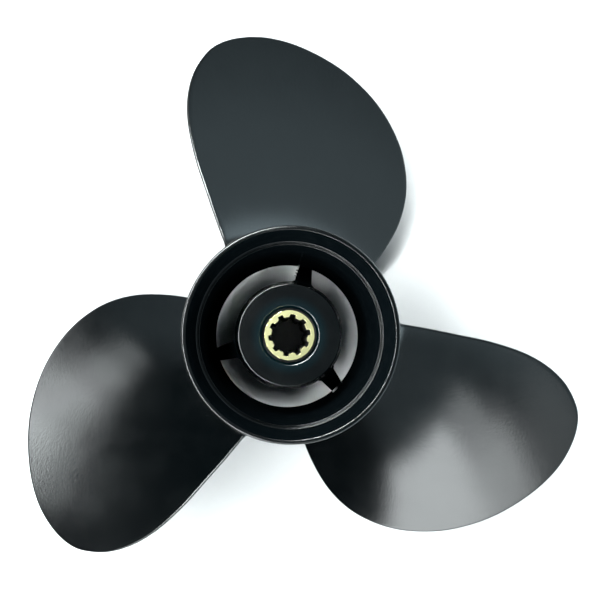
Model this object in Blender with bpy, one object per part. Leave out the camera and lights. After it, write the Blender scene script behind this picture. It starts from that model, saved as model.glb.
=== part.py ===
"""Three-blade boat propeller with the exhaust led out through its hub.

Right-handed. The origin is the centre of the front rim, which faces the gearcase, and +Z runs along the
shaft towards the tail. Blade 1 stands on +Y. Lengths are metres, and angles are degrees round the shaft
from +X towards +Y.
"""

import math

import bmesh
import bpy

# Driving dimensions
MM = 0.001
GAP = 0.3 * MM                    # joint left between neighbouring pieces
TIP_RADIUS = 125.4 * MM           # 250.8 mm over the blade tips
PITCH = 279.0 * MM                # advance of the blade face in one turn
BLADES = 3
HUB_LENGTH = 95.0 * MM            # front rim to tail rim

# Exhaust barrel
BARREL_RADIUS = 38.6 * MM
BARREL_BORE = 35.0 * MM
RIM_CHAMFER = 0.6 * MM
LEDGE_HEIGHT = 78.0 * MM          # aft face of the barrel wall, inside the tail
LEDGE_CHAMFER = 0.4 * MM

# Flared ring at the tail
TAIL_RADIUS = 40.0 * MM
TAIL_BORE_FRONT = 37.0 * MM
TAIL_LIP = 0.8 * MM               # radius of the rounded tail lip
FLARE_START = 86.0 * MM
FLARE_END = 92.5 * MM
FLARE_POWER = 1.6
FLARE_STEPS = 5

# Inner hub, which holds the rubber bush
HUB_FRONT = 4.0 * MM
HUB_AFT = 65.0 * MM
HUB_SHOULDER = 53.0 * MM          # where the straight flank turns into the nose cone
HUB_RADIUS_FRONT = 23.4 * MM
HUB_RADIUS_SHOULDER = 22.8 * MM
HUB_RADIUS_AFT = 20.8 * MM
HUB_EDGE = 0.7 * MM               # rounding of the aft edge
HUB_CHAMFER = 0.8 * MM
HUB_BORE = 18.0 * MM
HUB_WALL = 4.0 * MM               # thickness of the aft end wall
HUB_MOUTH = 11.0 * MM             # hole for the sleeve in the end wall

# Ribs between the inner hub and the barrel
RIBS = 3
RIB_ANGLE = 74.7
RIB_FRONT = 4.5 * MM
RIB_AFT_AT_HUB = 52.0 * MM        # the aft edge slopes down from the hub to the barrel
RIB_AFT_AT_BARREL = 10.0 * MM
RIB_INNER_THICKNESS = 7.4 * MM
RIB_OUTER_THICKNESS = 6.4 * MM
RIB_ARC_STEPS = 4

# Splined sleeve on the shaft, and the rubber bush round it
SLEEVE_FRONT = 2.0 * MM
SLEEVE_AFT = 69.0 * MM
SLEEVE_RADIUS = 10.0 * MM
SLEEVE_CHAMFER = 0.5 * MM
GROOVES = 10
GROOVE_ANGLE = 8.1
GROOVE_WIDTH = 1.85 * MM
SPLINE_OUTER = 8.25 * MM
SPLINE_INNER = 7.15 * MM
BUSH_FRONT = 5.0 * MM

# Blade
FACE_ANGLE = 85.0                 # the blade face crosses FACE_HEIGHT at this angle
FACE_HEIGHT = 49.8 * MM
ROOT_THICKNESS = 8.5 * MM
TIP_THICKNESS = 3.0 * MM
EDGE_THICKNESS = 1.4 * MM
CAMBER_POWER = 2.2
TIP_TAPER = 0.08                  # thickness gained over the edge for each unit of chord, near the tip
EDGE_ARC = (50, 0, -50)           # angles of the points that round the leading and trailing edges
FILLET = 9.0 * MM
STUB_RADIUS = 35.0 * MM           # each blade is drawn down to here, then cut to its seat
BLADE_PITCH_ANGLE = 360.0 / BLADES
CHORD_STEPS = 12
FILLET_STEPS = 4
SPAN_STEPS = 13
TIP_SHARE = 0.985                 # the last section lies this far along the span

# Edges of blade 1 seen along the shaft: radius, angle
LEADING_EDGE = (
    (BARREL_RADIUS, 36.0), (60 * MM, 40.7), (80 * MM, 47.0), (95 * MM, 55.1),
    (108 * MM, 65.8), (117 * MM, 76.4), (123 * MM, 86.9), (TIP_RADIUS, 95.5))
TRAILING_EDGE = (
    (BARREL_RADIUS, 126.0), (60 * MM, 120.8), (80 * MM, 117.7), (95 * MM, 115.1),
    (108 * MM, 111.6), (117 * MM, 107.7), (123 * MM, 103.2), (TIP_RADIUS, 95.5))

# Facets round the turned pieces
ROUND_STEPS = 72
SMALL_ROUND_STEPS = 48
SHARP_ANGLE = math.radians(35)


def clear_scene():
    for item in list(bpy.data.objects):
        bpy.data.objects.remove(item, do_unlink=True)


def material(name, colour, roughness, metallic):
    made = bpy.data.materials.new(name)
    made.use_nodes = True
    shader = made.node_tree.nodes["Principled BSDF"]
    shader.inputs["Base Color"].default_value = (*colour, 1.0)
    shader.inputs["Roughness"].default_value = roughness
    shader.inputs["Metallic"].default_value = metallic
    return made


def finish_piece(name, bm, finish):
    """Turn a closed bmesh into a named, smooth-shaded object."""
    bmesh.ops.recalc_face_normals(bm, faces=bm.faces)
    mesh = bpy.data.meshes.new(name)
    bm.to_mesh(mesh)
    bm.free()
    mesh.shade_smooth()
    mesh.set_sharp_from_angle(angle=SHARP_ANGLE)
    mesh.materials.append(finish)
    piece = bpy.data.objects.new(name, mesh)
    bpy.context.collection.objects.link(piece)
    return piece


def turned(name, profile, steps, finish):
    """Spin a closed outline of (radius, height) points round the shaft."""
    bm = bmesh.new()
    verts = [bm.verts.new((radius, 0, height)) for radius, height in profile]
    edges = [bm.edges.new((verts[i - 1], verts[i])) for i in range(len(verts))]
    bmesh.ops.spin(bm, geom=verts + edges, cent=(0, 0, 0), axis=(0, 0, 1),
                   angle=math.tau, steps=steps, use_merge=True)
    return finish_piece(name, bm, finish)


def lofted(name, loops, finish):
    """Skin a stack of closed loops with equal point counts, and cap both ends."""
    bm = bmesh.new()
    rings = [[bm.verts.new(point) for point in loop] for loop in loops]
    count = len(rings[0])
    for low, high in zip(rings, rings[1:]):
        for i in range(count):
            j = (i + 1) % count
            bm.faces.new((low[i], low[j], high[j], high[i]))
    bm.faces.new(rings[0])
    bm.faces.new(rings[-1])
    return finish_piece(name, bm, finish)


def arc(centre, radius, start, end, steps):
    """Points on an arc in the (radius, height) plane, angles in degrees."""
    turns = [math.radians(start + (end - start) * i / steps) for i in range(steps + 1)]
    return [(centre[0] + radius * math.cos(a), centre[1] + radius * math.sin(a)) for a in turns]


def polar(radius, degrees, height):
    a = math.radians(degrees)
    return (radius * math.cos(a), radius * math.sin(a), height)


def exhaust_barrel(finish):
    aft = LEDGE_HEIGHT - GAP
    profile = [
        (BARREL_BORE + RIM_CHAMFER, 0), (BARREL_RADIUS - RIM_CHAMFER, 0),
        (BARREL_RADIUS, RIM_CHAMFER), (BARREL_RADIUS, aft),
        (BARREL_BORE + LEDGE_CHAMFER, aft), (BARREL_BORE, aft - LEDGE_CHAMFER),
        (BARREL_BORE, RIM_CHAMFER)]
    return turned("exhaust_barrel", profile, ROUND_STEPS, finish)


def flare_radius(height):
    share = max(0.0, (height - FLARE_START) / (FLARE_END - FLARE_START))
    return BARREL_RADIUS + (TAIL_RADIUS - BARREL_RADIUS) * min(share, 1.0) ** FLARE_POWER


def tail_ring(finish):
    lip_height = HUB_LENGTH - TAIL_LIP
    step = (FLARE_END - FLARE_START) / FLARE_STEPS
    heights = [FLARE_START + step * i for i in range(FLARE_STEPS + 1)]
    outside = [(BARREL_RADIUS, LEDGE_HEIGHT)] + [(flare_radius(z), z) for z in heights]
    lip = arc((TAIL_RADIUS - TAIL_LIP, lip_height), TAIL_LIP, 0, 180, 6)
    profile = outside + lip + [(TAIL_BORE_FRONT, LEDGE_HEIGHT)]
    return turned("tail_ring", profile, ROUND_STEPS, finish)


def hub_radius(height):
    """Outer radius of the inner hub below its shoulder."""
    share = (height - HUB_FRONT) / (HUB_SHOULDER - HUB_FRONT)
    return HUB_RADIUS_FRONT + (HUB_RADIUS_SHOULDER - HUB_RADIUS_FRONT) * share


def inner_hub(finish):
    edge = arc((HUB_RADIUS_AFT - HUB_EDGE, HUB_AFT - HUB_EDGE), HUB_EDGE, 10, 90, 3)
    wall = HUB_AFT - HUB_WALL
    profile = [
        (HUB_BORE + HUB_CHAMFER, HUB_FRONT), (HUB_RADIUS_FRONT - HUB_CHAMFER, HUB_FRONT),
        (hub_radius(HUB_FRONT + HUB_CHAMFER), HUB_FRONT + HUB_CHAMFER),
        (HUB_RADIUS_SHOULDER, HUB_SHOULDER)]
    profile += edge
    profile += [
        (HUB_MOUTH + HUB_CHAMFER, HUB_AFT), (HUB_MOUTH, HUB_AFT - HUB_CHAMFER), (HUB_MOUTH, wall),
        (HUB_BORE, wall), (HUB_BORE, HUB_FRONT + HUB_CHAMFER)]
    return turned("inner_hub", profile, ROUND_STEPS, finish)


def rubber_bush(finish):
    inner = SLEEVE_RADIUS + GAP
    outer = HUB_BORE - GAP
    aft = HUB_AFT - HUB_WALL - GAP
    profile = [(inner, BUSH_FRONT), (outer, BUSH_FRONT), (outer, aft), (inner, aft)]
    return turned("rubber_bush", profile, SMALL_ROUND_STEPS, finish)


def spline_outline(minor, major):
    """Points round the splined bore, six for each groove, with the angle of each."""
    points = []
    for groove in range(GROOVES):
        centre = GROOVE_ANGLE + 360 * groove / GROOVES
        half_major = math.degrees(GROOVE_WIDTH / 2 / major)
        half_minor = math.degrees(GROOVE_WIDTH / 2 / minor)
        points += [
            (minor, centre - half_minor), (major, centre - half_major), (major, centre),
            (major, centre + half_major), (minor, centre + half_minor), (minor, centre + 180 / GROOVES)]
    return points


def spline_sleeve(finish):
    bore = spline_outline(SPLINE_INNER, SPLINE_OUTER)
    angles = [angle for radius, angle in bore]
    inner = [radius for radius, angle in bore]
    outer = [SLEEVE_RADIUS] * len(bore)
    chamfered = [SLEEVE_RADIUS - SLEEVE_CHAMFER] * len(bore)
    front = SLEEVE_FRONT
    aft = SLEEVE_AFT
    rings = [
        (inner, front), (chamfered, front), (outer, front + SLEEVE_CHAMFER),
        (outer, aft - SLEEVE_CHAMFER), (chamfered, aft), (inner, aft)]
    bm = bmesh.new()
    loops = []
    for radii, height in rings:
        loops.append([bm.verts.new(polar(r, a, height)) for r, a in zip(radii, angles)])
    for i in range(len(loops)):
        below = loops[i - 1]
        above = loops[i]
        for j in range(len(angles)):
            bm.faces.new((below[j - 1], below[j], above[j], above[j - 1]))
    return finish_piece("spline_sleeve", bm, finish)


def rib_loop(angle, hub_height, barrel_height):
    """Outline of a rib at its front or aft edge, curved to its seats on the hub and the barrel."""
    points = []
    inner = (hub_radius(hub_height) + GAP, RIB_INNER_THICKNESS, 1, hub_height)
    outer = (BARREL_BORE - GAP, RIB_OUTER_THICKNESS, -1, barrel_height)
    for radius, thickness, way, height in (inner, outer):
        half = math.degrees(math.asin(thickness / 2 / radius))
        for i in range(RIB_ARC_STEPS + 1):
            share = 1 - 2 * i / RIB_ARC_STEPS
            points.append(polar(radius, angle + way * share * half, height))
    return points


def rib(number, finish):
    angle = RIB_ANGLE + 360 * (number - 1) / RIBS
    loops = [rib_loop(angle, RIB_FRONT, RIB_FRONT), rib_loop(angle, RIB_AFT_AT_HUB, RIB_AFT_AT_BARREL)]
    return lofted(f"rib_{number}", loops, finish)


def span_share(radius):
    """Place along the span, 0 at the barrel and 1 at the tip, slowing down towards the tip."""
    share = (radius - BARREL_RADIUS) / (TIP_RADIUS - BARREL_RADIUS)
    return math.asin(min(max(share, 0.0), 1.0)) / (math.pi / 2)


def span_radius(share):
    return BARREL_RADIUS + (TIP_RADIUS - BARREL_RADIUS) * math.sin(share * math.pi / 2)


def edge_angle(points, radius):
    """Smooth curve through the edge's points, as a cubic between each two neighbours."""
    places = [span_share(r) for r, angle in points]
    angles = [angle for r, angle in points]
    x = span_share(radius)
    i = max(k for k in range(len(points) - 1) if places[k] <= x)

    def slope(k):
        a = max(k - 1, 0)
        b = min(k + 1, len(points) - 1)
        return (angles[b] - angles[a]) / (places[b] - places[a])

    width = places[i + 1] - places[i]
    t = (x - places[i]) / width
    rise = angles[i + 1] - angles[i]
    cubic = slope(i) * width + slope(i + 1) * width - 2 * rise
    square = 3 * rise - 2 * slope(i) * width - slope(i + 1) * width
    return angles[i] + t * (slope(i) * width + t * (square + t * cubic))


def fillet_growth(radius):
    """How far the root fillet widens each side of the blade at this radius."""
    rise = max(radius - BARREL_RADIUS, GAP)
    if rise >= FILLET:
        return 0.0
    return FILLET - math.sqrt(FILLET ** 2 - (FILLET - rise) ** 2)


def blade_section(radius):
    """Closed section of blade 1, wrapped on the cylinder of this radius."""
    lead = math.radians(edge_angle(LEADING_EDGE, radius)) * radius
    trail = math.radians(edge_angle(TRAILING_EDGE, radius)) * radius
    slope = math.atan(PITCH / (math.tau * radius))
    sine = math.sin(slope)
    cosine = math.cos(slope)
    share = (radius - BARREL_RADIUS) / (TIP_RADIUS - BARREL_RADIUS)
    middle = ROOT_THICKNESS + (TIP_THICKNESS - ROOT_THICKNESS) * share
    middle = min(middle, EDGE_THICKNESS + TIP_TAPER * (trail - lead))
    grow = fillet_growth(radius)
    nose = EDGE_THICKNESS / 2
    lead += nose * cosine
    trail -= nose * cosine

    def place(along, up):
        """A point at this arc length round the shaft and this height above the blade face."""
        around = along - up * sine
        height = FACE_HEIGHT + PITCH * (along / radius - math.radians(FACE_ANGLE)) / math.tau
        return polar(radius, math.degrees(around / radius), height + up * cosine)

    def rounded_edge(along, way):
        turns = [math.radians(a) for a in EDGE_ARC]
        reach = nose + grow
        return [place(along + way * reach * math.cos(a) * cosine, reach * math.sin(a) - nose)
                for a in turns]

    face = []
    back = []
    for i in range(CHORD_STEPS + 1):
        u = 0.5 - 0.5 * math.cos(math.pi * i / CHORD_STEPS)
        along = lead + (trail - lead) * u
        camber = 1 - abs(2 * u - 1) ** CAMBER_POWER
        depth = EDGE_THICKNESS + (middle - EDGE_THICKNESS) * camber
        face.append(place(along, grow))
        back.append(place(along, -depth - grow))
    return face + rounded_edge(trail, 1) + back[::-1] + rounded_edge(lead, -1)[::-1]


def blade_radii():
    start = BARREL_RADIUS + GAP
    fillet = [start + (FILLET - GAP) * (i / FILLET_STEPS) ** 2 for i in range(FILLET_STEPS)]
    first = span_share(BARREL_RADIUS + FILLET)
    step = (TIP_SHARE - first) / SPAN_STEPS
    return [STUB_RADIUS] + fillet + [span_radius(first + step * i) for i in range(SPAN_STEPS + 1)]


def blade_seat(finish):
    """Hidden cylinder that cuts the blades off just clear of the barrel."""
    radius = BARREL_RADIUS + GAP
    profile = [(0, -HUB_LENGTH), (radius, -HUB_LENGTH), (radius, 2 * HUB_LENGTH), (0, 2 * HUB_LENGTH)]
    seat = turned("blade_seat", profile, 2 * ROUND_STEPS, finish)
    seat.hide_render = True
    seat.display_type = "WIRE"
    return seat


def blade(number, seat, finish):
    loops = [blade_section(radius) for radius in blade_radii()]
    piece = lofted(f"blade_{number}", loops, finish)
    piece.rotation_euler.z = math.radians(BLADE_PITCH_ANGLE * (number - 1))
    cut = piece.modifiers.new("root_cut", "BOOLEAN")
    cut.operation = "DIFFERENCE"
    cut.solver = "EXACT"
    cut.object = seat
    return piece


def main():
    clear_scene()
    paint = material("black_paint", (0.012, 0.014, 0.016), 0.38, 0.0)
    rubber = material("black_rubber", (0.02, 0.02, 0.02), 0.8, 0.0)
    brass = material("sleeve_brass", (0.80, 0.62, 0.28), 0.3, 1.0)
    exhaust_barrel(paint)
    tail_ring(paint)
    inner_hub(paint)
    for number in range(1, RIBS + 1):
        rib(number, paint)
    seat = blade_seat(paint)
    for number in range(1, BLADES + 1):
        blade(number, seat, paint)
    rubber_bush(rubber)
    spline_sleeve(brass)


main()
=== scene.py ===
"""Boat propeller: finish and fine shape of a three-blade propeller with its exhaust led out through the hub.

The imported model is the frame. The origin is the centre of the front rim, on which the propeller stands, and +Z
runs along the shaft to the tail. Lengths are metres, and angles are degrees round the shaft from +X.
"""

import math

import bmesh
import bpy
from mathutils import Matrix, Vector


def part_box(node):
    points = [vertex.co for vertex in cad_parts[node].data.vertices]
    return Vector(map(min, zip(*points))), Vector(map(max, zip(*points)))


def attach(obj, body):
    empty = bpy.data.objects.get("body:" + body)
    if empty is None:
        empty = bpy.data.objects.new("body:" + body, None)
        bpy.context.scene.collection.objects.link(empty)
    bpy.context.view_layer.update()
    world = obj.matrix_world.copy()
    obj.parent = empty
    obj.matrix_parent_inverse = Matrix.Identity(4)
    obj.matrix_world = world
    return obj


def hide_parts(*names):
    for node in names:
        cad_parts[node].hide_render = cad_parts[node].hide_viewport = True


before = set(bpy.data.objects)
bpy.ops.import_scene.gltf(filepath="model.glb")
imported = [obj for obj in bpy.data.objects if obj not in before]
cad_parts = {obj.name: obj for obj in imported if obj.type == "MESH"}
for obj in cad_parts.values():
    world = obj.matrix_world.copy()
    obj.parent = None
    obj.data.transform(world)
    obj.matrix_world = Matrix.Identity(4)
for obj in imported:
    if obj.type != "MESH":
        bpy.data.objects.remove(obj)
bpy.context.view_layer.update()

MM = 0.001

# Sizes of the casting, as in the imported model
TIP_RADIUS = 125.4 * MM
PITCH = 279.0 * MM
HUB_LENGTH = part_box("tail_ring")[1].z
BARREL_RADIUS = 38.6 * MM
BARREL_BORE = 35.0 * MM
LEDGE_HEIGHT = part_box("tail_ring")[0].z
TAIL_RADIUS = 40.0 * MM
HUB_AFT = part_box("inner_hub")[1].z
HUB_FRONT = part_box("inner_hub")[0].z
SLEEVE_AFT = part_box("spline_sleeve")[1].z
SLEEVE_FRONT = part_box("spline_sleeve")[0].z
RIB_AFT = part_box("rib_1")[1].z
RIB_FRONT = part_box("rib_1")[0].z
RIB_ANGLE = 74.7
BARE = "bare"                # how far the paint is off, on a scale of 0 to 1

# Edges of blade 1 seen along the shaft: radius, angle
LEADING_EDGE = (
    (BARREL_RADIUS, 36.0), (60 * MM, 40.7), (80 * MM, 47.0), (95 * MM, 55.1),
    (108 * MM, 65.8), (117 * MM, 76.4), (123 * MM, 86.9), (TIP_RADIUS, 95.5))
TRAILING_EDGE = (
    (BARREL_RADIUS, 126.0), (60 * MM, 120.8), (80 * MM, 117.7), (95 * MM, 115.1),
    (108 * MM, 111.6), (117 * MM, 107.7), (123 * MM, 103.2), (TIP_RADIUS, 95.5))

ROUND_STEPS = 240
LIP_BORE = 38.3 * MM
LEDGE_BORE = 36.4 * MM
HUB_MOUTH = 11.15 * MM
SEAM_OFFSET = 5.8            # degrees round from a rib's middle to the core seam beside it
SEAM_WIDTH = 0.45 * MM


# Arithmetic with node sockets

class Quantity:
    """A number in a node tree. Arithmetic on it adds the nodes that work it out."""

    def __init__(self, tree, socket):
        self.tree = tree
        self.socket = socket

    def __add__(self, other):
        return work(self.tree, "ADD", self, other)

    def __radd__(self, other):
        return work(self.tree, "ADD", other, self)

    def __sub__(self, other):
        return work(self.tree, "SUBTRACT", self, other)

    def __rsub__(self, other):
        return work(self.tree, "SUBTRACT", other, self)

    def __mul__(self, other):
        return work(self.tree, "MULTIPLY", self, other)

    def __rmul__(self, other):
        return work(self.tree, "MULTIPLY", other, self)

    def __truediv__(self, other):
        return work(self.tree, "DIVIDE", self, other)

    def __rtruediv__(self, other):
        return work(self.tree, "DIVIDE", other, self)

    def __neg__(self):
        return work(self.tree, "MULTIPLY", self, -1.0)

    def __pow__(self, other):
        return work(self.tree, "POWER", self, other)

    def __mod__(self, other):
        return work(self.tree, "MODULO", self, other)


def feed(tree, value, entry):
    """Give a node's input a number, or link it to a quantity or a socket."""
    if isinstance(value, Quantity):
        tree.links.new(value.socket, entry)
    elif isinstance(value, bpy.types.NodeSocket):
        tree.links.new(value, entry)
    else:
        entry.default_value = value


def work(tree, operation, *values):
    node = tree.nodes.new("ShaderNodeMath")
    node.operation = operation
    for value, entry in zip(values, node.inputs):
        feed(tree, value, entry)
    return Quantity(tree, node.outputs[0])


def sine(x):
    return work(x.tree, "SINE", x)


def cosine(x):
    return work(x.tree, "COSINE", x)


def root(x):
    return work(x.tree, "SQRT", x)


def least(x, y):
    return work(x.tree, "MINIMUM", x, y)


def most(x, y):
    return work(x.tree, "MAXIMUM", x, y)


def within(x):
    """The quantity held between 0 and 1."""
    return least(most(x, 0.0), 1.0)


def blend(share, low, high):
    """low where share is 0, high where it is 1."""
    return low + share * (high - low)


def over(x, limit):
    """1 where x is more than the limit, else 0."""
    return work(x.tree, "GREATER_THAN", x, limit)


def add_node(tree, kind, inputs=(), **settings):
    """A node with its settings, and its inputs given by name or place."""
    node = tree.nodes.new(kind)
    for key, value in settings.items():
        setattr(node, key, value)
    for key, value in dict(inputs).items():
        feed(tree, value, node.inputs[key])
    return node


def point(tree, x, y, z):
    return add_node(tree, "ShaderNodeCombineXYZ", {0: x, 1: y, 2: z}).outputs[0]


def shape_tree(name, sizes):
    """A Geometry Nodes tree with one output and a named input for each size, and the sizes as quantities."""
    tree = bpy.data.node_groups.new(name, "GeometryNodeTree")
    tree.interface.new_socket("Shape", in_out="OUTPUT", socket_type="NodeSocketGeometry")
    for label, value in sizes.items():
        socket = tree.interface.new_socket(label, in_out="INPUT", socket_type="NodeSocketFloat")
        socket.default_value = value
    finish = tree.interface.new_socket("Finish", in_out="INPUT", socket_type="NodeSocketMaterial")
    finish.description = "Material of the whole piece"
    entry = tree.nodes.new("NodeGroupInput")
    given = {label: Quantity(tree, entry.outputs[label]) for label in sizes}
    return tree, given, entry.outputs["Finish"]


def end_tree(tree, geometry, finish):
    """Close the tree: weld, smooth, realize and give the finish."""
    weld = add_node(tree, "GeometryNodeMergeByDistance", {"Geometry": geometry, "Distance": 0.001 * MM})
    smooth = add_node(tree, "GeometryNodeSetShadeSmooth", {"Geometry": weld.outputs[0]})
    real = add_node(tree, "GeometryNodeRealizeInstances", {"Geometry": smooth.outputs[0]})
    painted = add_node(tree, "GeometryNodeSetMaterial", {"Geometry": real.outputs[0], "Material": finish})
    tree.links.new(painted.outputs[0], tree.nodes.new("NodeGroupOutput").inputs[0])


def made_by(tree, name, finish, **sizes):
    """A plain mesh object from a Geometry Nodes tree, with some of its sizes set."""
    holder = bpy.data.objects.new(name, bpy.data.meshes.new(name))
    bpy.context.collection.objects.link(holder)
    maker = holder.modifiers.new("shape", "NODES")
    maker.node_group = tree
    for socket in tree.interface.items_tree:
        if socket.in_out == "OUTPUT":
            continue
        label = socket.name.replace(" ", "_").lower()
        if label in sizes:
            maker[socket.identifier] = float(sizes[label])
        elif socket.name == "Finish":
            maker[socket.identifier] = finish
    shown = holder.evaluated_get(bpy.context.evaluated_depsgraph_get())
    mesh = bpy.data.meshes.new_from_object(shown)
    holder.modifiers.clear()
    holder.data = mesh
    mesh.name = name
    return holder


def grid(tree, rows, columns):
    """A flat grid, and each point's row and column."""
    plane = add_node(tree, "GeometryNodeMeshGrid", {"Vertices X": rows, "Vertices Y": columns})
    index = Quantity(tree, tree.nodes.new("GeometryNodeInputIndex").outputs[0])
    row = work(tree, "FLOOR", (index + 0.5) / columns)
    return plane.outputs["Mesh"], row, index - row * columns


def placed(tree, geometry, position):
    return add_node(tree, "GeometryNodeSetPosition", {"Geometry": geometry, "Position": position}).outputs[0]


# Blades

BLADE_SIZES = {
    "Barrel Radius": BARREL_RADIUS,
    "Tip Radius": TIP_RADIUS,
    "Pitch": PITCH,
    "Face Height": 49.8 * MM,
    "Face Angle": 85.0,
    "Root Thickness": 8.5 * MM,
    "Tip Thickness": 3.0 * MM,
    "Edge Radius": 0.7 * MM,
    "Fillet Radius": 6.0 * MM,
    "Root Depth": 0.7 * MM,
    "Camber Power": 2.2,
    "Tip Taper": 20.0 * MM,
    "Turn": 0.0,
}
ROOT_ROWS = 2
FILLET_ROWS = 12
SPAN_ROWS = 96
EDGE_COLUMNS = 8
CHORD_COLUMNS = 56
DEGREES_PER_CURVE = 180.0
SLOPE_STEP = 0.01
LEAN_SPAN = 20.0 * MM


def span_share(radius):
    """Place along the span, 0 at the barrel and 1 at the tip, slowing down towards the tip."""
    share = (radius - BARREL_RADIUS) / (TIP_RADIUS - BARREL_RADIUS)
    return math.asin(min(share, 1.0)) / (math.pi / 2)


def edge_curve(tree, stations, share):
    """Angle in radians of a blade edge at a place along the span, on a smooth curve through its stations."""
    node = add_node(tree, "ShaderNodeFloatCurve", {"Value": share})
    curve = node.mapping.curves[0]
    for i, (radius, angle) in enumerate(stations):
        place = (span_share(radius), angle / DEGREES_PER_CURVE)
        if i < 2:
            curve.points[i].location = place
        else:
            curve.points.new(*place)
    node.mapping.update()
    return Quantity(tree, node.outputs[0]) * math.radians(DEGREES_PER_CURVE)


def blade_tree():
    """A screw-shaped face, cambered on the back, with rounded edges and a root fillet tangent to the barrel.

    Rows run from the root to the tip. Columns run from the leading edge to the trailing edge, and the first and
    last few go round the edge itself.
    """
    tree, size, finish = shape_tree("propeller blade", BLADE_SIZES)
    rows = ROOT_ROWS + FILLET_ROWS + SPAN_ROWS
    columns = 2 * EDGE_COLUMNS + CHORD_COLUMNS + 1
    plane, row, column = grid(tree, rows, columns)
    span = size["Tip Radius"] - size["Barrel Radius"]
    fillet = size["Fillet Radius"]
    lead_per_radian = size["Pitch"] / math.tau

    # Radius of the row, and how far the fillet widens the blade there
    turn = within((row - 1.0) / FILLET_ROWS) * (math.pi / 2)
    low_radius = size["Barrel Radius"] + fillet * (1.0 - cosine(turn))
    low_share = work(tree, "ARCSINE", (low_radius - size["Barrel Radius"]) / span) / (math.pi / 2)
    top_of_fillet = work(tree, "ARCSINE", fillet / span) / (math.pi / 2)
    high = within((row - (1.0 + FILLET_ROWS)) / (rows - 2.0 - FILLET_ROWS))
    on_span = over(row, 1.0 + FILLET_ROWS)
    share = blend(on_span, low_share, blend(high, top_of_fillet, 1.0))
    radius = size["Barrel Radius"] + span * sine(share * (math.pi / 2))
    radius = radius - size["Root Depth"] * (1.0 - within(row))
    grow = fillet * (1.0 - sine(turn))

    # Inset of this column from the edge, and how far it has come round the edge
    from_lead = column / EDGE_COLUMNS
    from_trail = ((columns - 1.0) - column) / EDGE_COLUMNS
    trailing = over(column, (columns - 1.0) / 2)
    round_turn = within(least(from_lead, from_trail)) * (math.pi / 2)
    reach = size["Edge Radius"] + grow
    inset = size["Edge Radius"] - reach * cosine(round_turn)
    chord_share = within((column - float(EDGE_COLUMNS)) / CHORD_COLUMNS)

    # Edge points, moved inwards square to the edge on the unrolled blade, or along the chord near the root
    metric = root(radius * radius + lead_per_radian * lead_per_radian)
    lean = within((radius - size["Barrel Radius"] - fillet) / LEAN_SPAN)
    radius_slope = span * (math.pi / 2) * cosine(share * (math.pi / 2))

    def edge_place(stations, side):
        angle = edge_curve(tree, stations, share)
        before = edge_curve(tree, stations, share - SLOPE_STEP)
        across = metric * (angle - before) / SLOPE_STEP
        length = root(across * across + radius_slope * radius_slope)
        outward = lean * across / length
        along = root(1.0 - outward * outward)
        move = inset * along * side
        return angle + move / metric, radius - inset * outward * side

    lead_angle, lead_radius = edge_place(LEADING_EDGE, 1.0)
    trail_angle, trail_radius = edge_place(TRAILING_EDGE, -1.0)
    angle = blend(chord_share, lead_angle, trail_angle)
    place_radius = blend(chord_share, lead_radius, trail_radius)

    # Thickness
    chord = metric * (trail_angle - lead_angle)
    share_of_span = (radius - size["Barrel Radius"]) / span
    middle = blend(share_of_span, size["Root Thickness"], size["Tip Thickness"]) - 2.0 * size["Edge Radius"]
    middle = middle * (1.0 - work(tree, "EXPONENT", -(chord / size["Tip Taper"])))
    off_middle = work(tree, "ABSOLUTE", 2.0 * chord_share - 1.0)
    camber = 1.0 - off_middle ** size["Camber Power"]
    open_root = over(row, 0.5)
    half = reach * sine(round_turn) * open_root
    face_up = half - size["Edge Radius"]
    back_up = -half - size["Edge Radius"] - middle * camber * open_root

    def surface(up):
        """Points this far above the blade face, kept on their cylinder round the shaft."""
        slope = work(tree, "ARCTAN2", lead_per_radian, place_radius)
        around = angle - up * sine(slope) / place_radius
        height = size["Face Height"] + up * cosine(slope)
        height = height + lead_per_radian * (angle - size["Face Angle"] * math.radians(1))
        turned_angle = around + size["Turn"] * math.radians(1)
        place = point(tree, place_radius * cosine(turned_angle), place_radius * sine(turned_angle), height)
        return placed(tree, plane, place)

    face = surface(face_up)
    back = surface(back_up)
    flipped = add_node(tree, "GeometryNodeFlipFaces", {"Mesh": face})
    both = tree.nodes.new("GeometryNodeJoinGeometry")
    tree.links.new(flipped.outputs[0], both.inputs[0])
    tree.links.new(back, both.inputs[0])
    end_tree(tree, both.outputs[0], finish)
    return tree


# Turned pieces

def rounded(corners):
    """A closed outline of (radius, height, rounding) corners, with each rounding drawn as an arc."""
    points = []
    count = len(corners)
    for i, (radius, height, rounding) in enumerate(corners):
        before = corners[i - 1]
        after = corners[(i + 1) % count]
        a = (before[0] - radius, before[1] - height)
        b = (after[0] - radius, after[1] - height)
        a = tuple(v / math.hypot(*a) for v in a)
        b = tuple(v / math.hypot(*b) for v in b)
        if rounding == 0:
            points.append((radius, height))
            continue
        opening = math.acos(a[0] * b[0] + a[1] * b[1])
        middle = (a[0] + b[0], a[1] + b[1])
        to_centre = rounding / math.sin(opening / 2) / math.hypot(*middle)
        centre = (radius + middle[0] * to_centre, height + middle[1] * to_centre)
        run = rounding / math.tan(opening / 2)
        start = math.atan2(height + a[1] * run - centre[1], radius + a[0] * run - centre[0])
        end = math.atan2(height + b[1] * run - centre[1], radius + b[0] * run - centre[0])
        sweep = (end - start + math.pi) % math.tau - math.pi
        steps = max(2, round(abs(sweep) / math.radians(12)))
        for k in range(steps + 1):
            t = start + sweep * k / steps
            points.append((centre[0] + rounding * math.cos(t), centre[1] + rounding * math.sin(t)))
    return points


HOLD = 0.12 * MM


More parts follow.
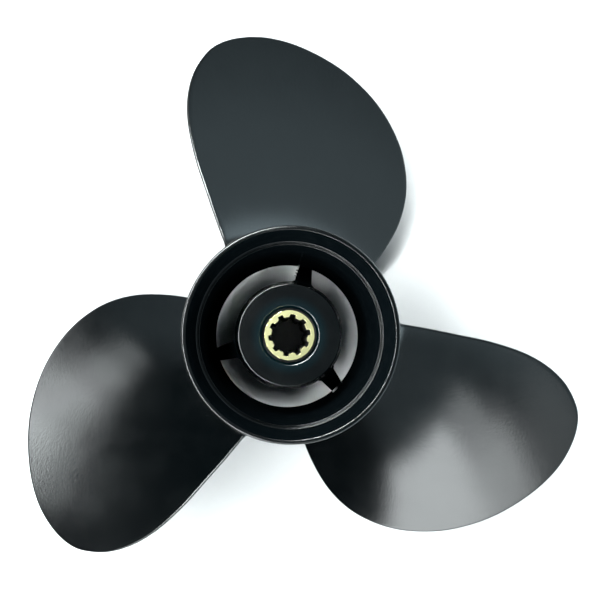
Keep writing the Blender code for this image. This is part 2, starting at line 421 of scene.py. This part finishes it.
def held(points):
    """The outline with a point close to each end of its long straight stretches, which keeps flats flat."""
    out = []
    for a, b in zip(points, points[1:] + points[:1]):
        out.append(a)
        length = math.dist(a, b)
        if length > 4 * HOLD:
            for share in (HOLD / length, 1 - HOLD / length):
                out.append((a[0] + (b[0] - a[0]) * share, a[1] + (b[1] - a[1]) * share))
    return out


def turned(name, corners, finish):
    """A closed outline spun round the shaft."""
    bm = bmesh.new()
    verts = [bm.verts.new((radius, 0, height)) for radius, height in held(rounded(corners))]
    edges = [bm.edges.new((verts[i - 1], verts[i])) for i in range(len(verts))]
    bmesh.ops.spin(bm, geom=verts + edges, cent=(0, 0, 0), axis=(0, 0, 1),
                   angle=math.tau, steps=ROUND_STEPS, use_merge=True)
    bmesh.ops.recalc_face_normals(bm, faces=bm.faces)
    mesh = bpy.data.meshes.new(name)
    bm.to_mesh(mesh)
    bm.free()
    mesh.shade_smooth()
    mesh.materials.append(finish)
    piece = bpy.data.objects.new(name, mesh)
    bpy.context.collection.objects.link(piece)
    return piece


def barrel(finish, bore_finish):
    """Barrel and tail ring: rounded lip, flare, and the ledge with its groove where the two bores meet."""
    groove = BARREL_BORE + 0.35 * MM
    corners = [
        (BARREL_BORE, 0, 0.6 * MM), (BARREL_RADIUS, 0, 0.7 * MM),
        (BARREL_RADIUS, 87 * MM, 12 * MM), (TAIL_RADIUS, 92.2 * MM, 2.5 * MM),
        (TAIL_RADIUS, HUB_LENGTH, 0.75 * MM), (LIP_BORE + 0.3 * MM, HUB_LENGTH, 0.1 * MM),
        (LIP_BORE, HUB_LENGTH - 0.08 * MM, 0.12 * MM),
        (LEDGE_BORE, LEDGE_HEIGHT, 0.4 * MM), (groove + 0.45 * MM, LEDGE_HEIGHT, 0.1 * MM),
        (groove + 0.25 * MM, LEDGE_HEIGHT - 0.25 * MM, 0.08 * MM),
        (groove + 0.05 * MM, LEDGE_HEIGHT - 0.25 * MM, 0.08 * MM),
        (groove - 0.1 * MM, LEDGE_HEIGHT, 0.1 * MM), (BARREL_BORE, LEDGE_HEIGHT, 0.2 * MM)]
    piece = turned("barrel_casting", corners, finish)
    piece.data.materials.append(bore_finish)
    for face in piece.data.polygons:
        x, y, z = face.center
        in_bore = math.hypot(x, y) < BARREL_BORE + 0.1 * MM and 1 * MM < z < LEDGE_HEIGHT - 0.4 * MM
        in_mouth = math.hypot(x, y) < LIP_BORE and LEDGE_HEIGHT + 1 * MM < z < HUB_LENGTH - 0.5 * MM
        face.material_index = int(in_bore or in_mouth)
    return piece


def hub(finish):
    corners = [
        (18.0 * MM, HUB_FRONT, 0.6 * MM), (23.4 * MM, HUB_FRONT, 0.8 * MM),
        (22.8 * MM, 53 * MM, 3 * MM), (20.8 * MM, HUB_AFT - 0.07 * MM, 0.3 * MM),
        (20.5 * MM, HUB_AFT, 0.1 * MM), (HUB_MOUTH + 1.15 * MM, HUB_AFT, 0.08 * MM),
        (HUB_MOUTH + 0.8 * MM, HUB_AFT - 0.09 * MM, 0.1 * MM), (HUB_MOUTH, HUB_AFT - 1.0 * MM, 0.3 * MM),
        (HUB_MOUTH, 61 * MM, 0.2 * MM), (18.0 * MM, 61 * MM, 0.8 * MM)]
    return turned("hub_casting", corners, finish)


def bush(finish):
    corners = [
        (10.0 * MM, 5 * MM, 0.3 * MM), (12.0 * MM, 5 * MM, 0.3 * MM), (12.5 * MM, 6.2 * MM, 0.4 * MM),
        (15.5 * MM, 6.2 * MM, 0.4 * MM), (16.0 * MM, 5 * MM, 0.3 * MM), (18.0 * MM, 5 * MM, 0.3 * MM),
        (18.0 * MM, 60.7 * MM, 0.5 * MM), (10.0 * MM, 60.7 * MM, 0.5 * MM)]
    return turned("cushion_rubber", corners, finish)


# Ribs

RIB_SIZES = {
    "Inner Radius": 22.4 * MM,
    "Outer Radius": 35.6 * MM,
    "Hub Radius": 22.9 * MM,
    "Bore Radius": BARREL_BORE,
    "Inner Thickness": 7.4 * MM,
    "Outer Thickness": 6.4 * MM,
    "Front": RIB_FRONT,
    "Aft At Hub": RIB_AFT,
    "Aft At Barrel": 10.0 * MM,
    "Foot": 1.2 * MM,
    "Corner Radius": 0.8 * MM,
    "Fillet Radius": 0.9 * MM,
    "Seat Fillet": 0.9 * MM,
    "Angle": RIB_ANGLE,
    "Flash": 0.0,
    "End Flash": 0.0,
    "Seed": 3.0,
}
RIB_ROWS = 84
RIB_COLUMNS = 32
CROWDING = 1.7               # above 1, rows crowd towards the barrel
FLASH_COLUMN = 4             # the column on the aft left corner
RIB_FLASH = (1.1 * MM, 0.1 * MM, 0.12 * MM)
RIB_END_FLASH = (0.0, 0.0, 1.0 * MM)


def growth(near, fillet):
    """How far a fillet stands out from its wall, at a distance from the face that it runs up."""
    rest = least(most(near, 0.0), fillet)
    return fillet - root(fillet * fillet - (fillet - rest) ** 2.0)


def rib_tree():
    """A web whose aft edge slopes from the hub down to the barrel, with filleted ends and casting flash."""
    tree, size, finish = shape_tree("exhaust rib", RIB_SIZES)
    plane, row, column = grid(tree, RIB_ROWS, RIB_COLUMNS + 1)
    ends = over(row, 0.5) * (1.0 - over(row, RIB_ROWS - 1.5))
    along = 1.0 - (1.0 - within((row - 1.0) / (RIB_ROWS - 3.0))) ** CROWDING
    radius = blend(along, size["Inner Radius"], size["Outer Radius"])
    to_hub = radius - size["Hub Radius"]
    to_barrel = size["Bore Radius"] - radius
    share = to_hub / (size["Bore Radius"] - size["Hub Radius"])
    grow = growth(least(to_hub, to_barrel), size["Fillet Radius"])
    half = blend(share, size["Inner Thickness"], size["Outer Thickness"]) / 2.0 + grow
    slope = within(to_hub / (size["Bore Radius"] - size["Hub Radius"] - size["Foot"]))
    aft = blend(slope, size["Aft At Hub"], size["Aft At Barrel"]) + growth(to_barrel, size["Seat Fillet"])
    middle = (size["Front"] + aft) / 2.0
    tall = (aft - size["Front"]) / 2.0
    corner = size["Corner Radius"]
    turn = column * (math.tau / RIB_COLUMNS)
    side = work(tree, "SIGN", work(tree, "ROUND", cosine(turn) * 1000.0))
    upper = work(tree, "SIGN", work(tree, "ROUND", sine(turn) * 1000.0))

    # Ragged fin along one aft corner, and the same at the barrel end
    noise = add_node(tree, "ShaderNodeTexNoise", noise_dimensions="1D")
    feed(tree, radius * 900.0 + size["Seed"], noise.inputs["W"])
    noise.inputs["Scale"].default_value = 1.0
    ragged = within((Quantity(tree, noise.outputs["Fac"]) - 0.44) * 9.0)
    on_corner = work(tree, "COMPARE", column, float(FLASH_COLUMN), 0.25)
    fin = on_corner * ragged * size["Flash"] * over(share, 0.2) * (1.0 - over(share, 0.97))
    end = over(share, 0.93) * (1.0 - over(share, 1.0)) * over(upper, 0.5) * size["End Flash"]
    width = (side * (half - corner) + corner * cosine(turn) + fin) * ends
    height = middle + (upper * (tall - corner) + corner * sine(turn)) * ends + fin * 0.5
    torn = within(fin * 6000.0) * over(share, 0.72)
    solid = placed(tree, plane, point(tree, radius, width, height))
    bare = add_node(tree, "GeometryNodeStoreNamedAttribute", {
        "Geometry": solid, "Name": BARE, "Value": within(torn + end * (1.0 - over(side, -0.5)) * 1000.0)})
    turned_place = point(tree, 0.0, 0.0, size["Angle"] * math.radians(1))
    stand = add_node(tree, "GeometryNodeTransform", {"Geometry": bare.outputs[0], "Rotation": turned_place})
    end_tree(tree, stand.outputs[0], finish)
    return tree


# Splined sleeve

SLEEVE_SIZES = {
    "Outer Radius": 10.0 * MM,
    "Groove Radius": 8.5 * MM,
    "Tooth Radius": 7.25 * MM,
    "Groove Width": 2.5 * MM,
    "Front": SLEEVE_FRONT,
    "Aft": SLEEVE_AFT,
    "Chamfer": 0.05 * MM,
    "Turn": 8.1,
}
GROOVES = 10
GROOVE_STEPS = 28
SLEEVE_SECTION = 16           # points on the closed section of the sleeve


def sleeve_tree():
    """A tube whose bore has straight grooves, drawn as an outline round the shaft and a section along it."""
    tree, size, finish = shape_tree("splined sleeve", SLEEVE_SIZES)
    around = GROOVES * GROOVE_STEPS
    plane, row, column = grid(tree, SLEEVE_SECTION + 1, around + 1)
    turn = column * (math.tau / around)
    # Distance from the nearest groove centre, as an angle
    pitch = math.tau / GROOVES
    local = work(tree, "ABSOLUTE", work(tree, "WRAP", turn, pitch / 2, -pitch / 2))
    half_groove = size["Groove Width"] / 2.0 / size["Groove Radius"]
    flank = 0.25 * MM / size["Groove Radius"]
    rise = within((local - half_groove + flank) / (2.0 * flank))
    smooth = rise * rise * (3.0 - 2.0 * rise)
    bore = blend(smooth, size["Groove Radius"], size["Tooth Radius"])
    chamfer = size["Chamfer"]
    # Section, going up the outside and down the bore: radius and height of each row
    outer, front, end = size["Outer Radius"], size["Front"], size["Aft"]
    hold = chamfer * 1.6
    steps = [
        (outer, front + hold), (outer, front + chamfer), (outer - chamfer, front), (outer - hold, front),
        (bore + hold, front), (bore + chamfer, front), (bore, front + chamfer), (bore, front + hold),
        (bore, end - hold), (bore, end - chamfer), (bore + chamfer, end), (bore + hold, end),
        (outer - hold, end), (outer - chamfer, end), (outer, end - chamfer), (outer, end - hold)]
    radius = 0.0
    height = 0.0
    for i, (r, z) in enumerate(steps):
        here = work(tree, "COMPARE", row % float(SLEEVE_SECTION), float(i), 0.25)
        radius = here * r + radius
        height = here * z + height
    spun = turn + size["Turn"] * math.radians(1)
    place = point(tree, radius * cosine(spun), radius * sine(spun), height)
    end_tree(tree, placed(tree, plane, place), finish)
    return tree


# Materials

def material(name):
    made = bpy.data.materials.new(name)
    made.use_nodes = True
    tree = made.node_tree
    shader = tree.nodes["Principled BSDF"]
    place = add_node(tree, "ShaderNodeTexCoord").outputs["Object"]
    return made, tree, shader, place


def noise(tree, place, scale, detail=2.0, roughness=0.5):
    node = add_node(tree, "ShaderNodeTexNoise", {
        "Vector": place, "Scale": scale, "Detail": detail, "Roughness": roughness})
    return Quantity(tree, node.outputs["Fac"])


def bumped(tree, shader, *layers):
    """Stack bumps of (height, strength, depth) and give them to the shader."""
    normal = None
    for height, strength, depth in layers:
        inputs = {"Height": height, "Strength": strength, "Distance": depth}
        if normal is not None:
            inputs["Normal"] = normal
        normal = add_node(tree, "ShaderNodeBump", inputs).outputs[0]
    tree.links.new(normal, shader.inputs["Normal"])


def mixed(tree, share, low, high):
    """A colour between two, each a colour or a socket."""
    node = add_node(tree, "ShaderNodeMix", {0: share}, data_type="RGBA")
    for colour, entry in ((low, node.inputs[6]), (high, node.inputs[7])):
        if isinstance(colour, tuple):
            entry.default_value = (*colour, 1)
        else:
            tree.links.new(colour, entry)
    return node.outputs[2]


def radius_and_height(tree, place):
    node = add_node(tree, "ShaderNodeSeparateXYZ", {0: place})
    x, y, z = (Quantity(tree, out) for out in node.outputs)
    return root(x * x + y * y), z


def ease(x, start, end):
    """0 before start, 1 after end, and smooth between."""
    node = add_node(x.tree, "ShaderNodeMapRange", interpolation_type="SMOOTHSTEP", clamp=True)
    for key, value in (("Value", x), ("From Min", start), ("From Max", end)):
        feed(x.tree, value, node.inputs[key])
    return Quantity(x.tree, node.outputs[0])


def black_paint():
    """Satin black paint on a cast surface.

    Orange peel about 0.9 mm across, a slow waviness of the casting under it, and soft patches of duller paint.
    Round the sleeve the aft face of the hub is painted a lighter blue-green: a painted blue cast of light.
    """
    made, tree, shader, place = material("satin_black_paint")
    radius, height = radius_and_height(tree, place)
    peel = noise(tree, place, 1150.0, 1.5)
    grit = noise(tree, place, 2700.0, 2.0)
    wave = noise(tree, place, 60.0, 2.0)
    cloud = noise(tree, place, 90.0, 3.0)
    # Painted light: a lighter blue-green cast painted on the hub's aft face round the sleeve.
    painted_blue_cast = (1.0 - ease(radius, 11.5 * MM, 17 * MM)) * over(height, HUB_AFT - 1 * MM)
    black = mixed(tree, ease(cloud, 0.35, 0.7), (0.0003, 0.0007, 0.0009), (0.0006, 0.0011, 0.0013))
    tree.links.new(mixed(tree, painted_blue_cast, black, (0.0002, 0.0044, 0.0060)), shader.inputs["Base Color"])
    rough = blend(ease(cloud, 0.3, 0.75), 0.14, 0.165) + grit * 0.02
    feed(tree, rough, shader.inputs["Roughness"])
    bumped(tree, shader, (wave, 0.10, 0.25 * MM), (peel, 0.5, 0.048 * MM), (grit, 0.45, 0.024 * MM))
    shader.inputs["IOR"].default_value = 1.5
    return made


def bore_paint():
    """The bore got only a dry dusting of paint over rough sand-cast metal, so it is matte.

    A faint seam runs up it beside the first rib, where the sand cores met: a bumped ridge, painted lighter as a
    painted highlight. The ribs' flash shows bare metal.
    """
    made, tree, shader, place = material("dry_black_paint")
    node = add_node(tree, "ShaderNodeSeparateXYZ", {0: place})
    x, y, z = (Quantity(tree, out) for out in node.outputs)
    sand = noise(tree, place, 1600.0, 4.0)
    dust = noise(tree, place, 240.0, 3.0)
    turn = work(tree, "ARCTAN2", y, x) - math.radians(RIB_ANGLE + SEAM_OFFSET)
    off = work(tree, "ABSOLUTE", work(tree, "WRAP", turn, math.pi, -math.pi)) * BARREL_BORE
    # The seam's ridge is a bump; its lighter colour is a painted highlight.
    seam_and_painted_glint = (1.0 - ease(off, SEAM_WIDTH * 0.3, SEAM_WIDTH)) * ease(dust, 0.3, 0.55)
    seam_and_painted_glint = seam_and_painted_glint * (1.0 - ease(z, 45 * MM, 62 * MM))
    black = mixed(tree, ease(dust, 0.4, 0.75), (0.0022, 0.0038, 0.0048), (0.0036, 0.0054, 0.0066))
    paint = mixed(tree, seam_and_painted_glint, black, (0.009, 0.012, 0.014))
    bare = Quantity(tree, add_node(tree, "ShaderNodeAttribute", attribute_name=BARE).outputs["Fac"])
    tree.links.new(mixed(tree, bare, paint, (0.86, 0.87, 0.88)), shader.inputs["Base Color"])
    feed(tree, bare * 0.6, shader.inputs["Metallic"])
    feed(tree, blend(bare, sand * 0.2 + 0.7, 0.4), shader.inputs["Roughness"])
    shader.inputs["Specular IOR Level"].default_value = 0.0
    bumped(tree, shader, (sand, 0.5, 0.1 * MM), (seam_and_painted_glint, 0.5, 0.2 * MM))
    return made


def rubber_finish():
    """Moulded rubber with a bloom of talc in its hollows."""
    made, tree, shader, place = material("cushion_rubber_black")
    grain = noise(tree, place, 700.0, 4.0)
    bloom = noise(tree, place, 150.0, 3.0)
    colour = mixed(tree, ease(bloom, 0.45, 0.75), (0.010, 0.010, 0.010), (0.022, 0.022, 0.021))
    tree.links.new(colour, shader.inputs["Base Color"])
    feed(tree, grain * 0.2 + 0.6, shader.inputs["Roughness"])
    bumped(tree, shader, (grain, 0.3, 0.1 * MM))
    return made


def brass_finish():
    """Bright turned end faces, with the wall and the broached bore painted dark: painted shade in the bore."""
    made, tree, shader, place = material("machined_brass")
    radius, height = radius_and_height(tree, place)
    tarnish = noise(tree, place, 260.0, 4.0)
    turning = noise(tree, point(tree, radius * 9000.0, height * 9000.0, 0.0), 1.0, 1.0)
    # Painted shade: the wall and the grooved bore are painted near black between the two end faces.
    painted_bore_shade = (1.0 - ease(height, SLEEVE_AFT - 0.3 * MM, SLEEVE_AFT - 0.12 * MM))
    painted_bore_shade = painted_bore_shade * ease(height, SLEEVE_FRONT + 0.12 * MM, SLEEVE_FRONT + 0.3 * MM)
    brass = mixed(tree, tarnish, (0.95, 0.92, 0.50), (0.93, 0.88, 0.44))
    tree.links.new(mixed(tree, painted_bore_shade, brass, (0.0006, 0.0008, 0.0009)), shader.inputs["Base Color"])
    feed(tree, 1.0 - painted_bore_shade, shader.inputs["Metallic"])
    feed(tree, blend(painted_bore_shade, tarnish * 0.04 + 0.225, 0.7), shader.inputs["Roughness"])
    bumped(tree, shader, (turning, 0.12, 0.01 * MM))
    return made


# Stage

FLOOR_SIZE = 0.62
FLOOR_DEPTH = 0.05
# Painted light: the floor is white under the barrel, where it shows through the passages, and grey round it.
FLOOR_WHITE = (0.95, 0.95, 0.95)
FLOOR_GREY = (0.25, 0.25, 0.25)
FLOOR_DROP = 0.02 * MM
FLOOR_GLOW = 7 * MM
LIGHT_DISTANCE = 2.0
AIM = Vector((0, 0, HUB_LENGTH / 2))
WALL_AZIMUTH = -9.0
WALL_HALF_WIDTH = 71.0
WALL_GLOW = 1.05
LOW_WALL_GLOW = 0.45
SKIRTING_GLOW = 1.6
CEILING_GLOW = 0.08
DIM_GLOW = 0.03
BACKDROP_GLOW = 0.8
DAYLIGHT = (0.78, 1.0, 1.09)
SOFT_LIGHTS = (
    # name, one end and the other (angle round, angle up), width in degrees, brightness
    ("front_box", (-113, 28), (-113, 50), 22, 10.8),
    ("front_wing", (-93, 27), (-93, 37), 9, 3.8),
    ("front_wing_top", (-91, 37), (-91, 48), 10, 6.8),
    ("back_strip_1", (109, 22), (117, 28.5), 8, 3.2),
    ("back_strip_2", (117, 28.5), (127, 36.5), 8, 6.3),
    ("back_strip_3", (127, 36.5), (139, 44), 8, 10.0),
    ("back_strip_4", (139, 44), (158, 50), 7, 17.0),
    ("back_wing", (106, 42), (126, 44.5), 5, 4.2),
    ("high_ring_1", (95, 61.5), (127, 61.5), 4.5, 180.0),
    ("high_ring_2", (127, 61.5), (159, 61.5), 4, 120.0),
    ("high_ring_3", (159, 61.5), (191, 61.5), 4, 80.0),
    ("high_ring_4", (191, 61.5), (223, 61.5), 4, 100.0),
    ("high_ring_5", (223, 61), (255, 61), 3, 75.0),
    ("high_ring_6", (255, 61), (287, 61), 3, 15.0),
    ("right_wing", (-84, 43), (-66, 43), 9, 1.2),
)
FLOOR_LIGHTS = (
    ("floor_strip_1", (75, 66), (90, 66), 3, 180.0),
    ("floor_strip_2", (90, 63.5), (105, 63.5), 3, 240.0),
    ("floor_strip_3", (105, 60.2), (135, 60.2), 3, 190.0),
    ("floor_strip_4", (135, 60.2), (165, 60.2), 3, 230.0),
    ("floor_strip_5", (152, 62.5), (187, 62.5), 3, 200.0),
    ("floor_strip_6", (180, 66.8), (210, 66.8), 6, 100.0),
    ("floor_strip_7", (195, 62.8), (225, 62.8), 3, 60.0),
    ("floor_strip_8", (225, 60.5), (240, 60.5), 3, 110.0),
    ("floor_strip_9", (274, 61), (300, 61), 4.5, 95.0),
    ("floor_strip_11", (254, 61), (274, 61), 4.5, 150.0),
    ("floor_strip_10", (285, 64.5), (315, 64.5), 4, 80.0),
)
FLOOR_WASHES = ((-95, 3.6), (180, 0.6))
LIGHT_TINT = (0.94, 1.0, 1.01)
WASH_HALF_SPAN = 45
WASH_ELEVATION = 32
WASH_WIDTH = 34
CAMERA_PLACE = (-5.4 * MM, -1.9 * MM, 355.6 * MM)
CAMERA_TURN = (0.862, -0.446, 0.0)          # degrees
CAMERA_LENS = 43.05                         # mm on a 36 mm sensor
CAMERA_SHIFT = (0.0307, 0.0486)


def camera():
    data = bpy.data.cameras.new("camera")
    data.sensor_width = 36.0
    data.lens = CAMERA_LENS
    data.shift_x, data.shift_y = CAMERA_SHIFT
    data.clip_start = 0.01
    data.clip_end = 20.0
    made = bpy.data.objects.new("camera", data)
    made.location = CAMERA_PLACE
    made.rotation_euler = [math.radians(a) for a in CAMERA_TURN]
    bpy.context.collection.objects.link(made)
    bpy.context.scene.camera = made


def floor():
    bm = bmesh.new()
    bmesh.ops.create_cube(bm, size=1.0)
    bmesh.ops.scale(bm, vec=(FLOOR_SIZE, FLOOR_SIZE, FLOOR_DEPTH), verts=bm.verts)
    bmesh.ops.translate(bm, vec=(0, 0, -FLOOR_DEPTH / 2 - FLOOR_DROP), verts=bm.verts)
    mesh = bpy.data.meshes.new("floor")
    bm.to_mesh(mesh)
    bm.free()
    made, tree, shader, place = material("white_acrylic")
    radius, _ = radius_and_height(tree, place)
    # Painted light: white under the barrel so the passages look lit, grey on the open floor under the strong
    # lamps.
    painted_light_under_barrel = 1.0 - ease(radius, BARREL_BORE - 1 * MM, BARREL_RADIUS + 2 * MM)
    tree.links.new(mixed(tree, painted_light_under_barrel, FLOOR_GREY, FLOOR_WHITE), shader.inputs["Base Color"])
    shader.inputs["Roughness"].default_value = 0.6
    shader.inputs["Specular IOR Level"].default_value = 0.1
    shader.inputs["Subsurface Weight"].default_value = 1.0
    shader.inputs["Subsurface Radius"].default_value = (1, 1, 1)
    shader.inputs["Subsurface Scale"].default_value = FLOOR_GLOW
    mesh.materials.append(made)
    piece = bpy.data.objects.new("floor", mesh)
    bpy.context.collection.objects.link(piece)
    return piece


def direction(azimuth, elevation):
    """Unit vector to a place in the room, from its angle round the shaft and its angle above the floor."""
    a = math.radians(azimuth)
    e = math.radians(elevation)
    return Vector((math.cos(a) * math.cos(e), math.sin(a) * math.cos(e), math.sin(e)))


def soft_light(name, start, end, width, brightness):
    """A soft box seen from the propeller as a strip between two directions, this many degrees wide.

    Its brightness is the radiance of its face.
    """
    a = direction(*start)
    b = direction(*end)
    middle = (a + b).normalized()
    along = (b - a).normalized()
    length = 2 * LIGHT_DISTANCE * math.tan(a.angle(b) / 2)
    across = 2 * LIGHT_DISTANCE * math.tan(math.radians(width) / 2)
    data = bpy.data.lights.new(name, "AREA")
    data.shape = "RECTANGLE"
    data.size = length
    data.size_y = across
    data.energy = brightness * math.pi * length * across
    data.color = LIGHT_TINT
    made = bpy.data.objects.new(name, data)
    upright = middle.cross(along).normalized()
    turn = Matrix((along, upright, middle)).transposed()
    made.matrix_world = Matrix.Translation(middle * LIGHT_DISTANCE + AIM) @ turn.to_4x4()
    made.visible_camera = False
    bpy.context.collection.objects.link(made)
    return made


def room():
    """The room round the table: a bright wall on the right, a dim one on the left, and a pale ceiling."""
    world = bpy.data.worlds.new("room")
    bpy.context.scene.world = world
    world.use_nodes = True
    tree = world.node_tree
    place = add_node(tree, "ShaderNodeTexCoord").outputs["Generated"]
    node = add_node(tree, "ShaderNodeSeparateXYZ", {0: place})
    x, y, z = (Quantity(tree, out) for out in node.outputs)
    azimuth = work(tree, "ARCTAN2", y, x) * math.degrees(1)
    elevation = work(tree, "ARCSINE", z) * math.degrees(1)
    off_wall = work(tree, "ABSOLUTE", azimuth - WALL_AZIMUTH)
    wall = 1.0 - ease(off_wall, WALL_HALF_WIDTH - 14, WALL_HALF_WIDTH + 12)
    wall = wall * (1.0 - ease(elevation, 32.0, 54.0) * 0.75) * (1.0 - ease(elevation, 54.0, 66.0))
    low_wall = (1.0 - ease(off_wall, 104.0, 128.0)) * (1.0 - ease(elevation, 24.0, 44.0))
    ceiling = ease(elevation, 70.0, 82.0)
    bright = most(wall * WALL_GLOW, low_wall * LOW_WALL_GLOW)
    skirting = (1.0 - ease(off_wall, 46.0, 66.0)) * (1.0 - ease(elevation, 0.0, 9.0))
    glow = bright + ceiling * CEILING_GLOW + skirting * SKIRTING_GLOW + DIM_GLOW
    back = tree.nodes["Background"]
    camera_ray = Quantity(tree, add_node(tree, "ShaderNodeLightPath").outputs["Is Camera Ray"])
    tree.links.new(mixed(tree, camera_ray, DAYLIGHT, (1.0, 1.0, 1.0)), back.inputs["Color"])
    feed(tree, blend(camera_ray, glow, BACKDROP_GLOW), back.inputs["Strength"])


def lights(table):
    room()
    for name, start, end, width, brightness in SOFT_LIGHTS:
        soft_light(name, start, end, width, brightness)
    # Lights that only whiten the floor: steep ones through the hub's passages, and wide soft ones round the table
    only = bpy.data.collections.new("floor_only")
    only.objects.link(table)
    whiteners = [soft_light(*row) for row in FLOOR_LIGHTS]
    for azimuth, brightness in FLOOR_WASHES:
        start = (azimuth - WASH_HALF_SPAN, WASH_ELEVATION)
        end = (azimuth + WASH_HALF_SPAN, WASH_ELEVATION)
        whiteners.append(soft_light(f"floor_wash_{azimuth}", start, end, WASH_WIDTH, brightness))
    for lamp in whiteners:
        lamp.light_linking.receiver_collection = only


def main():
    paint = black_paint()
    blades = blade_tree()
    pieces = []
    for number in (1, 2, 3):
        piece = made_by(blades, f"blade_casting_{number}", paint, turn=120.0 * (number - 1))
        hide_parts(f"blade_{number}")
        pieces.append((piece, "painted_casting"))
    ribs = rib_tree()
    dry = bore_paint()
    for number in (1, 2, 3):
        piece = made_by(ribs, f"rib_casting_{number}", dry, angle=RIB_ANGLE + 120.0 * (number - 1),
                        flash=RIB_FLASH[number - 1], end_flash=RIB_END_FLASH[number - 1], seed=7.0 * number)
        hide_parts(f"rib_{number}")
        pieces.append((piece, "painted_casting"))
    shell = barrel(paint, dry)
    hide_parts("exhaust_barrel", "tail_ring")
    pieces.append((shell, "painted_casting"))
    core = hub(paint)
    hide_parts("inner_hub")
    pieces.append((core, "painted_casting"))
    rubber = bush(rubber_finish())
    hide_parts("rubber_bush")
    pieces.append((rubber, "bush_rubber"))
    sleeve = made_by(sleeve_tree(), "sleeve_brass_piece", brass_finish())
    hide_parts("spline_sleeve")
    pieces.append((sleeve, "sleeve_brass"))
    for piece, slot in pieces:
        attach(piece, "root")
        print(piece.name, len(piece.data.polygons), [round(v * 1000, 2) for v in piece.dimensions])
    table = floor()
    camera()
    lights(table)
    bpy.context.scene.view_settings.view_transform = "Standard"


main()
